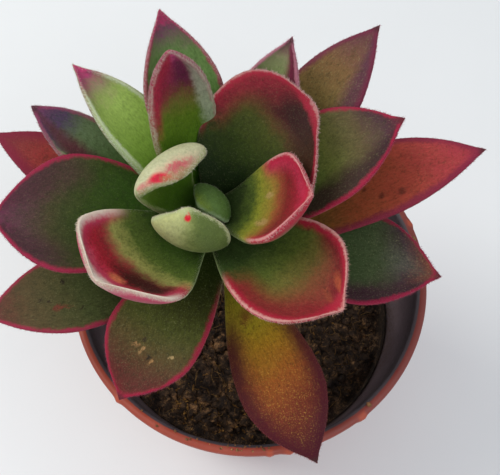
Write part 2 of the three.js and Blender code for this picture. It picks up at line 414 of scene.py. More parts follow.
def makeBlade(name, forms, look, material):
    bm = bmesh.new()
    leafPlace = bm.verts.layers.float_vector.new("leafPlace")
    tipward = bm.verts.layers.float_vector.new("tipward")
    rimGap = bm.verts.layers.float.new("rimGap")
    hairShare = bm.verts.layers.float.new("hairShare")
    hairLength = bm.verts.layers.float.new("hairLength")
    for leaf in forms:
        known = set(bm.verts)
        bmesh.ops.create_uvsphere(bm, u_segments=leafDetail["around"],
                                  v_segments=leafDetail["along"], radius=1)
        for vert in bm.verts:
            if vert in known:
                continue
            v = (1 - vert.co.z) / 2
            turn = math.atan2(vert.co.y, vert.co.x)
            onPole = v < 1e-6 or v > 1 - 1e-6
            place, half = leaf.point(v, turn)
            across = 0 if onPole else math.cos(turn)
            face = 0 if onPole else math.sin(turn)
            aside, ahead = half * (1 - abs(across)), leaf.sizes["length"] * (1 - v)
            gap = aside * ahead / max(math.hypot(aside, ahead), 1e-6)
            vert[leafPlace] = Vector((across, v, face))
            vert[rimGap] = gap
            _, side, _, along = leaf.station(v)
            edge = 1 - eased(gap, 0.15, 1.1)
            vert[tipward] = along * (hairs["sweep"] + edge * v) + side * across * edge
            inside = look["onFace"] if face >= 0 else look["onBack"]
            vert[hairShare] = mixed(inside, look["onRim"], edge)
            vert[hairLength] = mixed(look["faceLong"], look["rimLong"], edge)
            vert.co = place * mm
    bmesh.ops.recalc_face_normals(bm, faces=bm.faces)
    return finishMesh(name, bm, [material])


def paintLeaf(net, look):
    # colour over the leaf: a run from base to tip, patches over it, then margin and rim
    across, along, face = net.parts(net.attribute("leafPlace", "Vector"))
    grains = ((6, 3), (1.7, 3, 0.6), (0.55, 3, 0.65))
    wander, mottle, fine = (net.grain(*sizes) - 0.5 for sizes in grains)
    x = across + wander * 0.35 + mottle * 0.22 + fine * 0.16
    y = along + wander * 0.12 + mottle * 0.09 + fine * 0.07
    calmX, calmY = across + mottle * 0.1, along + mottle * 0.02
    gap = net.attribute("rimGap") + wander * 1.2 + mottle * 1.3 + fine * 0.9
    under = net.soft(face, 0.1, -0.2)
    run = y + across * look["slant"] + across * across * look["bow"]
    colour = net.mix(under, net.ramp(run, look["run"]), net.ramp(y, look["back"]))
    for patch in look["patches"]:
        if "wide" in patch:
            (low, high), wide = patch["along"], patch["wide"]
            share = net.soft(gap, wide * 1.45, wide * 0.5) * net.soft(y, low - 0.08, low + 0.08)
            share = share * net.soft(y, high + 0.05, high - 0.05)
            if patch["side"]:
                share = share * net.soft(across * patch["side"], -0.15, 0.4)
        else:
            (atX, atY), (reachX, reachY), soft = patch["at"], patch["reach"], patch["soft"]
            spotX, spotY = (calmX, calmY) if patch["calm"] else (x, y)
            dx, dy = (spotX - atX) / reachX, (spotY - atY) / reachY
            share = net.soft(net.maths("SQRT", dx * dx + dy * dy), 1 + soft, 1 - soft)
        side = under if patch["under"] else 1 - under
        colour = net.mix(share * side * patch["share"], colour, rgb(*patch["colour"]))
    # pale hair tips, partly their own colour and partly painted highlight, and pits darkened with
    # painted shade dot the skin
    hairGlints = net.soft(net.grain(0.3, 2, 0.6), 0.5, 0.85) * net.soft(net.grain(2.6, 2), 0.1, 0.6)
    colour = net.mix(hairGlints * look["hairGlints"], colour, rgb(*look["hairGlintColour"]))
    pitShade = net.soft(mottle * 0.3 + fine, -0.02, -0.22)
    colour = net.mix(pitShade * look["pitShade"], colour, rgb(*look["pitShadeColour"]))
    # the nap of the hairs catches the light in short streaks
    shade = 1 + (net.nap(0.045, 0.026) - 0.5) * look["nap"] + (mottle + fine) * 0.45
    colour = net.node("ShaderNodeVectorMath", {"operation": "SCALE"}, {0: colour, "Scale": shade})
    marginColour, wide = look["margin"]
    start = net.soft(along + across * look["marginLean"], *look["marginFrom"])
    if look["marginTo"]:
        start = start * net.soft(along, *look["marginTo"])
    edge = net.soft(gap, wide * 1.9, wide * 0.2) * start
    colour = net.mix(edge * look["marginShare"], colour, rgb(*marginColour))
    if look["rim"]:
        rimColour, thin, share = look["rim"]
        near = net.attribute("rimGap") + under * 0.8 + mottle * 0.9 + fine * 1.1
        colour = net.mix(net.soft(near, thin * 1.4, 0.0) * start * share, colour,
                         rgb(*rimColour))
    if look["tip"]:
        dry = net.soft(along + mottle * 0.02, 0.972, 0.992) * 0.75
        colour = net.mix(dry, colour, rgb(*look["tip"]))
    return colour, fine, wander


def leafSkin(name, look):
    material, net, surface = newMaterial(name + "_skin", {
        "Sheen Weight": 0.05, "Sheen Roughness": 0.4, "Sheen Tint": rgb(214, 222, 190),
        "Subsurface Weight": 0.08, "Subsurface Radius": (1.0, 0.8, 0.4),
        "Subsurface Scale": 0.001, "Specular IOR Level": 0.14,
    })
    colour, fine, wander = paintLeaf(net, look)
    bristle = net.grain(0.35, 2, 0.7)
    relief = bump(net, bristle + net.grain(1.6, 2) * 1.5, 0.07, 0.9)
    feed(net, surface, {
        "Base Color": colour,
        "Roughness": net.soft(fine + wander, -0.5, 0.5) * 0.25 + 0.5,
        "Normal": relief,
    })
    return material


def leafHairs(name, look):
    # a hair takes most of its leaf's colour, and is paler; at the margin it has its own
    material, net, surface = newMaterial(name + "_hair", {
        "Roughness": 0.5, "Specular IOR Level": 0.2})
    _, along, face = net.parts(net.attribute("leafPlace", "Vector"))
    gap = net.attribute("rimGap")
    grain = net.grain(3, 2)
    pale, rim, reach = look["hairs"]
    shifted = along + (grain - 0.5) * 0.2
    colour = net.mix(net.soft(face, 0.1, -0.2), net.ramp(shifted, look["run"]),
                     net.ramp(shifted, look["back"]))
    colour = net.mix(look["hairPale"], colour, rgb(*pale))
    atRim = net.soft(gap + (grain - 0.5) * 0.9, reach, reach * 0.3)
    atRim = atRim * net.soft(along, *look["marginFrom"])
    colour = net.mix(atRim * look["rimHair"], colour, rgb(*rim))
    feed(net, surface, {"Base Color": colour})
    return material


def spot(colour, at, reach, share=1.0, soft=0.6, under=False, calm=False):
    # a soft round patch, and a calm one keeps its even outline
    return dict(colour=colour, at=at, reach=reach, share=share, soft=soft, under=under, calm=calm)


def band(colour, wide, along, share=1.0, side=0):
    # a patch that follows the margin for a stretch, on one side or both
    return dict(colour=colour, wide=wide, along=along, share=share, side=side, under=False)


leaves = {
    "leaf_young_1": dict(
        kind="young", heading=239, height=105.8, rise=2, tipRise=135, length=17.5, width=16,
        cup=40, tipCup=20, swing=28, thick=5.5, base=0.3, peak=0.56, blunt=2.6, taper=0.6,
        run=[(0, (56, 86, 24)), (0.5, (81, 104, 38)), (0.9, (116, 134, 64))],
        back=[(0, (86, 109, 42)), (0.6, (121, 133, 69)), (1, (138, 146, 84))],
        patches=[
            # painted light and shade: the back's left half is paler and its right half darker, as
            # if lit from the left
            spot((172, 176, 120), (0.65, 0.8), (0.6, 0.4), under=True),
            spot((82, 100, 48), (-0.72, 0.8), (0.6, 0.6), share=0.9, under=True),
            spot((200, 26, 46), (0.0, 0.958), (0.15, 0.036), soft=0.35, under=True, calm=True)],
        margin=((170, 180, 130), 0.4), rim=(cream, 0.4, 0.3), hairPale=0.4),
    "leaf_young_2": dict(
        kind="young", heading=161, height=104, rise=6, tipRise=155, length=23.5, width=16.5,
        cup=45, tipCup=10, swing=-38, hook=20, thick=6.5, below=0.7, base=0.26, peak=0.8,
        blunt=2.6, taper=0.55,
        run=[(0, (50, 83, 12)), (0.5, (66, 98, 18)), (0.9, (90, 118, 38))],
        back=[(0, (86, 110, 40)), (0.42, (136, 150, 92)), (0.6, (172, 178, 134)),
              (0.9, (186, 186, 150))],
        patches=[
            spot((194, 130, 118), (-0.1, 0.99), (1.0, 0.07), share=0.4, under=True),
            spot((176, 56, 78), (0.1, 0.985), (0.75, 0.03), share=0.8, under=True),
            spot((202, 34, 62), (-0.66, 0.966), (0.24, 0.046), soft=0.45, under=True, calm=True),
            spot((192, 84, 100), (-0.95, 0.9), (0.12, 0.04), share=0.7, under=True)],
        margin=((150, 166, 104), 0.4), marginShare=0.5, hairPale=0.5),
    "leaf_inner_1": dict(
        kind="inner", heading=219, height=104, rise=-10, tipRise=60, length=30.5, width=28, cup=45,
        tipCup=45, swing=10, base=0.26, peak=0.7, blunt=3.4, taper=0.6,
        run=[(0, (36, 62, 10)), (0.34, (44, 66, 14)), (0.5, (72, 88, 32)), (0.61, (136, 134, 72)),
             (0.665, (136, 84, 58)), (0.72, (134, 34, 42)), (0.8, (148, 26, 42)),
             (0.88, (172, 38, 62)), (0.96, (190, 84, 104))],
        back=[(0, (104, 126, 66)), (0.6, (114, 130, 78)), (0.84, (150, 84, 92))],
        patches=[
            spot((54, 6, 12), (-0.46, 0.73), (0.5, 0.11)),
            band((160, 34, 62), 2.6, (0.56, 1.2), share=0.9),
            spot((200, 110, 74), (-0.1, 0.86), (0.13, 0.04), share=0.8, calm=True)],
        bow=0.06, margin=((184, 60, 92), 1.8), marginFrom=(0.5, 0.72), marginLean=0.12,
        rim=((212, 200, 186), 1.5, 0.95), hairs=paleHairs, hairPale=0.35, hairGlints=0.12, pitShade=0.2),
    "leaf_inner_2": dict(
        kind="inner", heading=347, height=106, rise=20, tipRise=62, length=23.5, width=21.6,
        cup=50, tipCup=50, peak=0.68, blunt=2.6, taper=0.7,
        run=[(0, (28, 46, 12)), (0.2, (34, 50, 14)), (0.32, (70, 86, 28)), (0.42, (122, 126, 38)),
             (0.54, (136, 112, 42)), (0.63, (134, 68, 40)), (0.72, (116, 32, 32)),
             (0.84, (134, 24, 40)), (0.96, (176, 38, 66))],
        patches=[
            band((168, 42, 68), 3.0, (0.5, 1.2), side=-1),
            spot((178, 140, 100), (0.4, 0.5), (0.1, 0.07), share=0.5),
            spot((170, 140, 96), (-0.3, 0.5), (0.06, 0.04), share=0.5)],
        bow=0.02, margin=((174, 30, 58), 1.3), marginFrom=(0.42, 0.6),
        rim=((212, 170, 164), 0.45, 0.6), hairs=((200, 190, 164), (206, 150, 152), 0.5), hairGlints=0.1,
        pitShade=0.15),
    "leaf_inner_3": dict(
        kind="inner", heading=125, height=95, rise=44, tipRise=88, length=45, width=15.5, cup=30,
        tipCup=50, swing=-37, roll=-20, hook=20, thick=5, below=0.5, peak=0.54, blunt=2.2,
        taper=0.6,
        run=[(0, (54, 96, 12)), (0.4, (68, 110, 16)), (0.62, (82, 108, 24)), (0.7, (96, 96, 38)),
             (0.77, (100, 56, 44)), (0.84, (108, 36, 60)), (0.93, (126, 34, 74)),
             (1, (172, 66, 108))],
        back=[(0, (104, 126, 66)), (0.6, (120, 134, 84)), (0.78, (140, 66, 80)),
              (1, (158, 58, 94))],
        patches=[
            band((134, 32, 56), 4.2, (0.72, 1.2), side=-1, share=0.85),
            band((150, 34, 58), 1.9, (0.6, 1.2), side=-1, share=0.9),
            spot((84, 26, 56), (0.35, 0.87), (0.34, 0.09), share=0.8),
            # the pale strip along the right margin is partly hair colour and partly painted sheen,
            # seen at a grazing angle
            spot((150, 160, 136), (0.9, 0.72), (0.28, 0.24), share=0.75)],
        bow=0.0, margin=((150, 90, 92), 0.3), marginFrom=(0.3, 0.6), marginShare=0.5,
        rim=((206, 204, 186), 0.16, 0.25), hairs=((206, 208, 180), (218, 216, 200), 0.22),
        hairPale=0.25, rimHair=0.35, hairGlints=0.12, pitShade=0.12),
    "leaf_inner_4": dict(
        kind="inner", heading=57, height=101.2, rise=44, tipRise=38, length=30, width=30.5, cup=42,
        tipCup=30, swing=-46, roll=-12, base=0.28, blunt=2.6, taper=0.6,
        # the near-black green low on the run is painted shade where the leaves overlap the base
        run=[(0, (18, 36, 4)), (0.3, (20, 38, 5)), (0.5, (46, 60, 14)), (0.66, (64, 70, 22)),
             (0.74, (78, 58, 28)), (0.82, (84, 32, 30)), (0.96, (76, 24, 30))],
        patches=[
            band((124, 30, 44), 4.3, (0.5, 1.2), side=-1, share=0.95),
            spot((48, 20, 20), (0.12, 0.9), (0.66, 0.12)),
            spot((54, 34, 20), (0.7, 0.78), (0.5, 0.14), share=0.8),
            band((136, 30, 46), 1.3, (0.46, 1.2))],
        margin=((152, 32, 54), 0.9), marginFrom=(0.35, 0.5), rim=((190, 156, 148), 0.35, 0.5),
        hairs=((190, 188, 160), (206, 166, 164), 0.5), hairGlints=0.14, pitShade=0.2),
    "leaf_inner_5": dict(
        kind="inner", heading=312.5, height=103, rise=8, tipRise=24, length=32.5, width=25.3,
        cup=50, tipCup=40, swing=8, blunt=2.6, taper=0.8,
        run=[(0, (33, 52, 16)), (0.32, (46, 64, 24)), (0.5, (76, 88, 32)), (0.64, (98, 92, 40)),
             (0.78, (114, 66, 40)), (0.92, (120, 42, 38))],
        patches=[
            band((126, 34, 38), 5.6, (0.42, 1.2), side=1, share=0.95),
            band((106, 22, 30), 3.6, (0.64, 1.2), side=-1, share=0.92),
            band((150, 26, 46), 1.8, (0.4, 1.2)),
            spot((170, 80, 50), (-0.55, 0.9), (0.12, 0.045), share=0.7, calm=True),
            spot((150, 74, 46), (-0.1, 0.9), (0.08, 0.03), share=0.4)],
        bow=0.0, margin=((168, 34, 56), 1.0), marginFrom=(0.3, 0.5),
        rim=((212, 168, 158), 0.5, 0.65), hairs=((194, 188, 160), (204, 156, 150), 0.5), hairGlints=0.14,
        pitShade=0.2),
    "leaf_middle_1": dict(
        kind="mature", heading=181, height=98, rise=16, tipRise=2, length=44, width=28, cup=35,
        tipCup=25,
        run=[(0, (34, 62, 6)), (0.4, (39, 68, 6)), (0.58, (43, 61, 10)), (0.74, (61, 56, 32)),
             (0.88, (76, 48, 54)), (1.0, (92, 32, 62))],
        patches=[
            spot((68, 38, 44), (0.7, 0.8), (0.34, 0.2), share=0.7),
            spot((61, 34, 41), (-0.75, 0.85), (0.3, 0.2), share=0.8)],
        bow=0.1, margin=(crimson, 0.7), hairGlints=0.15),
    "leaf_middle_2": dict(
        kind="inner", heading=139.5, height=95, rise=46, tipRise=28, length=43.5, width=14.5,
        cup=70, tipCup=70,
        run=[(0, (98, 134, 40)), (0.5, (132, 168, 66)), (0.78, (148, 174, 88)),
             (0.87, (140, 130, 98)), (0.94, (146, 64, 96)), (1.0, (182, 44, 100))],
        bow=0.0, margin=((160, 176, 132), 0.4), marginTo=(0.95, 0.82), marginShare=0.7,
        rim=((206, 212, 190), 0.32, 0.35), hairs=((200, 206, 176), (216, 220, 202), 1.1), hairGlints=0.1,
        pitShade=0.08),
    "leaf_middle_3": dict(
        kind="mature", heading=152.5, height=79.3, rise=46, tipRise=28, length=53, width=13.5,
        cup=45, tipCup=35, roll=10, blunt=2.4, taper=0.8,
        run=[(0, (66, 104, 39)), (0.55, (84, 116, 58)), (0.8, (90, 108, 74)), (0.9, (72, 56, 80)),
             (1.0, (104, 46, 78))],
        back=[(0, (130, 144, 92)), (0.7, (120, 128, 92)), (1, (76, 50, 72))],
        patches=[
            spot((84, 44, 50), (-0.45, 0.72), (0.4, 0.24)),
            spot((150, 162, 118), (-1.0, 0.72), (0.16, 0.16), share=0.7)],
        bow=0.0, margin=((140, 56, 90), 0.4), marginShare=0.65,
        hairs=((186, 192, 160), (176, 140, 142), 0.5), hairGlints=0.15),
    "leaf_middle_4": dict(
        kind="mature", heading=111.5, height=86, rise=50, tipRise=60, length=52.5, width=19,
        cup=60, tipCup=60, peak=0.68,
        run=[(0, (88, 137, 44)), (0.6, (97, 137, 69)), (0.84, (108, 140, 80)),
             (0.95, (112, 74, 90)), (1.0, (161, 50, 90))],
        bow=0.0, margin=((158, 52, 88), 0.4), marginShare=0.75, tip=None,
        hairs=((190, 196, 166), (206, 180, 182), 0.4), hairGlints=0.12, pitShade=0.1),
    "leaf_middle_5": dict(
        kind="mature", heading=64, height=92, rise=54, tipRise=42, length=43, width=17, cup=60,
        tipCup=60,
        run=[(0, (86, 121, 50)), (0.75, (112, 146, 76)), (0.92, (120, 116, 86)),
             (1.0, (92, 50, 62))],
        patches=[
            spot((98, 30, 54), (0.75, 0.8), (0.42, 0.5))],
        bow=0.0, margin=((156, 96, 112), 0.35), hairs=((200, 200, 178), (190, 130, 150), 0.6),
        hairGlints=0.1, pitShade=0.1),
    "leaf_middle_6": dict(
        kind="mature", heading=238, height=92, rise=8, tipRise=-25, length=37, width=21, cup=25,
        tipCup=25,
        run=[(0, (36, 54, 8)), (0.35, (46, 50, 10)), (0.55, (68, 72, 24)), (0.72, (80, 64, 34)),
             (0.86, (83, 44, 34)), (1.0, (100, 29, 36))],
        back=redBack,
        patches=[
            spot((150, 112, 72), (0.26, 0.7), (0.07, 0.012), share=0.8),
            spot((156, 120, 78), (0.12, 0.725), (0.03, 0.02), share=0.8),
            spot((34, 24, 18), (-0.1, 0.735), (0.06, 0.014), share=0.9),
            spot((158, 118, 74), (-0.2, 0.755), (0.03, 0.016), share=0.8),
            spot((166, 140, 96), (-0.57, 0.665), (0.04, 0.01), share=0.8),
            spot((46, 32, 22), (0.1, 0.64), (0.05, 0.012), share=0.8)],
        bow=0.06, margin=((152, 26, 58), 0.6), nap=1.3),
    "leaf_middle_7": dict(
        kind="mature", heading=21, height=95, rise=47, tipRise=19, length=43, width=21, cup=30,
        tipCup=25,
        run=[(0, (58, 87, 28)), (0.45, (80, 108, 40)), (0.62, (102, 108, 50)),
             (0.8, (91, 78, 50)), (0.92, (72, 46, 52)), (1.0, (88, 34, 50))],
        patches=[
            spot((50, 25, 31), (0.85, 0.6), (0.42, 0.4), share=0.9)],
        margin=((154, 26, 60), 0.6), hairGlints=0.25),
    "leaf_middle_8": dict(
        kind="mature", heading=347, height=91, rise=14, tipRise=0, length=43, width=22, cup=30,
        tipCup=25,
        run=[(0, (39, 56, 20)), (0.5, (54, 74, 39)), (0.7, (63, 76, 46)), (0.86, (65, 46, 52)),
             (1.0, (117, 68, 50))],
        back=redBack,
        patches=[
            spot((60, 36, 44), (0.9, 0.75), (0.34, 0.34)),
            spot((100, 108, 92), (-0.1, 0.83), (0.34, 0.08), share=0.35, soft=0.9)],
        bow=0.06, margin=((146, 24, 60), 0.6), hairGlints=0.35),
    "leaf_outer_1": dict(
        kind="old", heading=288, height=78, rise=14, tipRise=-20, length=45, width=19, cup=10,
        tipCup=-10, swing=9,
        run=[(0, (124, 128, 28)), (0.22, (164, 152, 36)), (0.42, (168, 124, 30)),
             (0.58, (150, 82, 32)), (0.74, (112, 48, 30)), (1.0, (72, 26, 32))],
        patches=[
            spot((120, 40, 34), (0.2, 0.22), (0.22, 0.035), share=0.7, soft=0.9),
            spot((120, 52, 34), (0.75, 0.5), (0.3, 0.3), share=0.5, soft=0.9)],
        slant=-0.05, margin=((70, 14, 30), 2.8), hairs=((186, 164, 92), (140, 44, 62), 0.6),
        hairGlints=0.7, hairGlintColour=(208, 170, 70), pitShade=0.45, pitShadeColour=(98, 38, 26), nap=1.4),
    "leaf_outer_2": dict(
        kind="old", heading=198, height=82, rise=14, tipRise=2, length=51, width=19, cup=20,
        tipCup=15,
        run=[(0, (50, 62, 22)), (0.6, (64, 71, 36)), (0.85, (81, 66, 42)), (1.0, (96, 47, 45))],
        patches=[
            spot((112, 47, 39), (-0.36, 0.7), (0.1, 0.022), share=0.8),
            spot((36, 26, 20), (0.33, 0.67), (0.07, 0.014), share=0.9),
            spot((36, 26, 20), (-0.45, 0.62), (0.06, 0.012), share=0.9),
            spot((40, 30, 24), (-0.05, 0.76), (0.05, 0.01), share=0.8)],
        margin=((150, 34, 66), 0.6), hairGlints=0.25, nap=1.2),
    "leaf_outer_3": dict(
        kind="old", heading=157, height=79, rise=32, tipRise=10, length=57, width=16, cup=25,
        tipCup=15,
        run=[(0, (108, 88, 38)), (0.5, (146, 62, 40)), (0.8, (142, 50, 48)), (1.0, (104, 46, 48))],
        margin=((124, 32, 56), 1.9), hairs=((176, 140, 110), (146, 40, 66), 0.6), hairGlints=0.15),
    "leaf_outer_4": dict(
        kind="old", heading=47, height=86, rise=58, tipRise=24, length=56, width=17, cup=30,
        tipCup=15,
        run=[(0, (79, 84, 28)), (0.6, (108, 95, 46)), (0.82, (113, 84, 51)), (1.0, (90, 46, 62))],
        patches=[
            spot((81, 41, 60), (0.85, 0.76), (0.42, 0.4), share=0.85)],
        margin=((104, 36, 60), 0.8)),
    "leaf_outer_5": dict(
        kind="old", heading=13, height=82, rise=54, tipRise=3, length=59, width=17, cup=20,
        tipCup=10,
        run=[(0, (104, 93, 35)), (0.4, (126, 82, 38)), (0.58, (150, 72, 44)),
             (0.74, (158, 64, 50)), (0.9, (156, 54, 60)), (1.0, (140, 42, 62))],
        patches=[
            spot((84, 36, 26), (0.45, 0.62), (0.08, 0.011), share=0.75, calm=True),
            spot((84, 36, 26), (0.54, 0.69), (0.1, 0.013), share=0.75, calm=True),
            spot((96, 42, 30), (0.1, 0.57), (0.06, 0.01), share=0.7, calm=True)],
        margin=((122, 34, 60), 1.0), hairs=((184, 148, 110), (146, 40, 66), 0.6), hairGlints=0.15),
    "leaf_outer_6": dict(
        kind="old", heading=110, height=76, rise=25, tipRise=15, length=50, width=21, cup=20,
        tipCup=15,
        run=[(0, (86, 66, 36)), (0.6, (104, 36, 40)), (1.0, (104, 34, 50))],
        margin=(crimson, 1.1), tip=None, hairGlints=0.15),
}

heartBud = dict(
    kind="bud",
    run=[(0, (58, 88, 28)), (0.5, (66, 98, 38)), (1.0, (106, 130, 58))],
    back=[(0, (64, 94, 38)), (0.45, (70, 102, 46)), (0.8, (84, 112, 54)), (1.0, (124, 146, 52))],
    margin=((140, 164, 122), 0.5), marginFrom=(0.0, 0.15), rim=((176, 192, 156), 0.5, 0.6),
    hairPale=0.45,
    leaflets=[
        dict(heading=38, height=105, rise=30, tipRise=200, length=11.5, width=11, cup=50,
             tipCup=40, thick=3, peak=0.55, blunt=2.2, taper=0.7, out=-0.1, mucro=0),
        dict(heading=190, height=105, rise=60, tipRise=125, length=8, width=7, cup=60,
             tipCup=40, thick=2.2, peak=0.55, blunt=2.4, taper=0.7, out=0.6, mucro=0),
        dict(heading=290, height=105, rise=50, tipRise=130, length=8, width=6, cup=50,
             tipCup=40, thick=2, peak=0.55, blunt=2.2, taper=0.7, out=0.5, mucro=0),
    ])

hairs = {"perMm2": 6.5, "long": 0.5, "thick": 0.036, "spread": 0.45, "leaning": 0.8,
         "sweep": 0.4, "budSeed": 900}


def hairShape():
    bm = bmesh.new()
    bmesh.ops.create_cone(bm, segments=3, radius1=hairs["thick"] / hairs["long"], radius2=0,
                          depth=1, cap_ends=True)
    bmesh.ops.remove_doubles(bm, verts=bm.verts, dist=1e-4)
    bmesh.ops.translate(bm, verts=bm.verts, vec=(0, 0, 0.45))
    return finishMesh("hair_shape", bm, [], smooth=False)


def makeLeaf(name, given, forms, seed):
    look = {**plainLeaf, **leafKinds[given["kind"]], **given}
    blade = makeBlade(name + "_blade", [Leaf(form) for form in forms], look, leafSkin(name, look))
    dress(blade, look["slot"], name)
    shape = hairShape()
    grown = scatter(name + "_hairs", blade, [shape], [leafHairs(name, look)], {
        "seed": seed, "perMm2": hairs["perMm2"], "shareBy": "hairShare",
        "size": (hairs["long"] * 0.6, hairs["long"] * 1.2), "sizeBy": "hairLength",
        "lean": "tipward", "leaning": hairs["leaning"], "spread": hairs["spread"]})
    dropShapes([shape])
    dress(grown, look["slot"])
    return len(grown.data.polygons)


def makeLeaves():
    total = 0
    for i, (name, leaf) in enumerate(leaves.items()):
        total += makeLeaf(name, leaf, [leaf], i * 10)
    total += makeLeaf("heart_bud", heartBud, heartBud["leaflets"], hairs["budSeed"])
    print("leaves done,", total, "hair faces")


pot = {
    "height": 70, "rim": 42.5, "lip": 2.4, "overhang": 1.5, "foot": 28.8, "wall": 1.0,
    "floor": 1.2, "holes": 8, "hole": 2.5, "holeCircle": 22.5, "steps": 240,
    "nubs": [(-135, 1.6, 0.5), (-84, 1.4, 0.35), (-78, 2.0, 0.55), (-53, 1.8, 0.5),
             (20, 1.6, 0.4)],
}


def wallRadius(z):
    return mixed(pot["foot"], pot["rim"] - pot["overhang"], z / (pot["height"] - pot["lip"]))


def potMaterial():
    material, net, surface = newMaterial("pot_plastic", {"Specular IOR Level": 0.45})
    inner = net.attribute("inner")
    x, _, z = net.parts(net.place())
    blotch, fine = net.grain(9, 4, 0.6), net.grain(0.8, 3, 0.6)
    clay = net.ramp(blotch, [
        (0.25, (146, 58, 41)), (0.5, (158, 66, 47)), (0.75, (168, 74, 53))])
    # painted shade: the lip is darker on its right side, away from the main light
    shadedLipRight = net.soft(x, -0.01, 0.04) * net.soft(z, 0.062, 0.068)
    clay = net.mix(shadedLipRight * 0.8, clay, rgb(112, 46, 42))
    clay = net.mix(net.soft(net.attribute("nub"), 0.1, 0.8) * 0.5, clay, rgb(196, 86, 50))
    dust = net.soft(fine * 0.5 + blotch * 0.5, 0.52, 0.68)
    clay = net.mix(dust * 0.12, clay, rgb(190, 132, 106))
    black = net.ramp(blotch, [
        (0.3, (102, 88, 94)), (0.55, (120, 104, 110)), (0.75, (144, 126, 130))])
    # painted shade: the black wall is darker high up, just under the lip, as if shaded by the lip
    # and the leaves
    high = net.soft(z + (blotch - 0.5) * 0.012, 0.054, 0.068)
    black = net.mix(high * 0.75, black, rgb(44, 40, 46))
    low = net.soft(z + (blotch - 0.5) * 0.012, 0.058, 0.046)
    black = net.mix(low * net.soft(fine, 0.4, 0.65) * 0.7, black, rgb(96, 72, 52))
    turned = net.soft(inner + (fine - 0.5) * 0.25 + (blotch - 0.5) * 0.2, 0.35, 0.75)
    feed(net, surface, {
        "Base Color": net.mix(turned, clay, black),
        "Roughness": net.soft(blotch + fine * 0.4, 0.4, 0.9) * 0.25 + 0.36,
        "Normal": bump(net, fine + net.grain(0.25, 2) * 0.5, 0.03, 0.5),
    })
    return material


def makePot():
    under = pot["height"] - pot["lip"]
    inner = wallRadius(under) - pot["wall"]
    foot, rim, high = pot["foot"], pot["rim"], pot["height"]
    profile = [
        (0, 0), (foot - 4.2, 0), (foot - 3.6, 0.5), (foot - 2.2, 0.5), (foot - 1.6, 0),
        (foot - 1.2, 0), (foot - 0.6, 0.12), (foot - 0.2, 0.5), (wallRadius(1.4), 1.4),
        (wallRadius(under), under), (rim - 0.75, under + 0.05), (rim - 0.3, under + 0.2),
        (rim - 0.05, under + 0.6), (rim, under + 1.0), (rim, high - 0.75),
        (rim - 0.12, high - 0.4), (rim - 0.45, high - 0.12), (rim - 0.95, high),
        (rim - 1.45, high - 0.05), (rim - 1.9, high - 0.25), (inner + 0.12, high - 0.6),
        (inner, high - 1.1), (inner, under), (wallRadius(3) - pot["wall"], 3),
        (foot - 1.3, 1.7),
        (foot - 1.9, pot["floor"]), (0, pot["floor"]),
    ]
    bm = bmesh.new()
    innerSide = bm.verts.layers.float.new("inner")
    nub = bm.verts.layers.float.new("nub")
    spun(bm, divided(profile, 3.0), pot["steps"])
    for vert in bm.verts:
        r, z = math.hypot(vert.co.x, vert.co.y) / mm, vert.co.z / mm
        if z > 0.8:
            vert[innerSide] = eased(r - wallRadius(z), -0.05, -1.0)
        # moulding flash left on the lip: place in degrees, width, height
        for around, wide, proud in pot["nubs"]:
            turned = math.atan2(vert.co.y, vert.co.x) - math.radians(around)
            away = abs(math.atan2(math.sin(turned), math.cos(turned))) * rim
            if away < wide and z > under and r > rim - 1.2:
                vert[nub] = eased(away, wide, 0)
                push = 1 + proud * vert[nub] / r
                vert.co.x *= push
                vert.co.y *= push
        # the thin wall isn't quite round
        wave = 0.12 * math.sin(2 * math.atan2(vert.co.y, vert.co.x) + 0.7) * z / high
        vert.co.x *= 1 + wave / rim
        vert.co.y *= 1 - wave / rim
    shell = finishMesh("pot_shell", bm, [potMaterial()])
    drill = bmesh.new()
    for i in range(pot["holes"]):
        angle = 2 * math.pi * (i + 0.5) / pot["holes"]
        place = Vector((math.cos(angle), math.sin(angle), 0)) * pot["holeCircle"] * mm
        bmesh.ops.create_cone(drill, segments=32, radius1=pot["hole"] * mm,
                              radius2=pot["hole"] * mm, depth=6 * mm, cap_ends=True,
                              matrix=Matrix.Translation(place))
    cutter = finishMesh("pot_drill", drill, [])
    cut = shell.modifiers.new("holes", "BOOLEAN")
    cut.operation, cut.solver, cut.object = "DIFFERENCE", "EXACT", cutter
    bpy.context.view_layer.update()
    view = bpy.context.evaluated_depsgraph_get()
    data = bpy.data.meshes.new_from_object(shell.evaluated_get(view), depsgraph=view,
                                           preserve_all_data_layers=True)
    shell.modifiers.clear()
    shell.data = data
    bpy.data.objects.remove(cutter)
    dress(shell, "terracotta_plastic", "pot")
    print("pot done")


soil = {
    "level": 47, "fall": 0.17, "swell": 0.8, "gap": 0.3, "steps": 150, "topGap": 0.12,
    "chunks": 0.32, "fibres": 0.3, "husks": 0.8, "reach": 3.6,
}


def soilHeight(x, y):
    lumps = math.sin(0.31 * x + 1.2) * math.cos(0.27 * y) + 0.6 * math.sin(0.5 * y - 0.37 * x)
    return soil["level"] - soil["fall"] * x + soil["swell"] * lumps


def soilMaterial(name, dark, light, share):
    material, net, surface = newMaterial(name, {"Specular IOR Level": 0.25})
    clods, coarse, fine = net.grain(7, 2), net.grain(2.0, 4, 0.65), net.grain(0.4, 3, 0.6)
    between = tuple(mixed(a, b, 0.3) for a, b in zip(dark, light))
    colour = net.ramp(clods * 0.5 + coarse * 0.9 + fine * 0.5 - 0.45,
                      [(0.34, dark), (0.56, between), (0.74, light)])
    bright = net.soft(net.grain(1.3, 2), 0.62, 0.75) * share
    colour = net.mix(bright, colour, rgb(*light))
    feed(net, surface, {
        "Base Color": colour,
        "Roughness": net.soft(fine, 0.3, 0.7) * 0.2 + 0.75,
        "Normal": bump(net, coarse + fine, 0.35),
    })
    return material


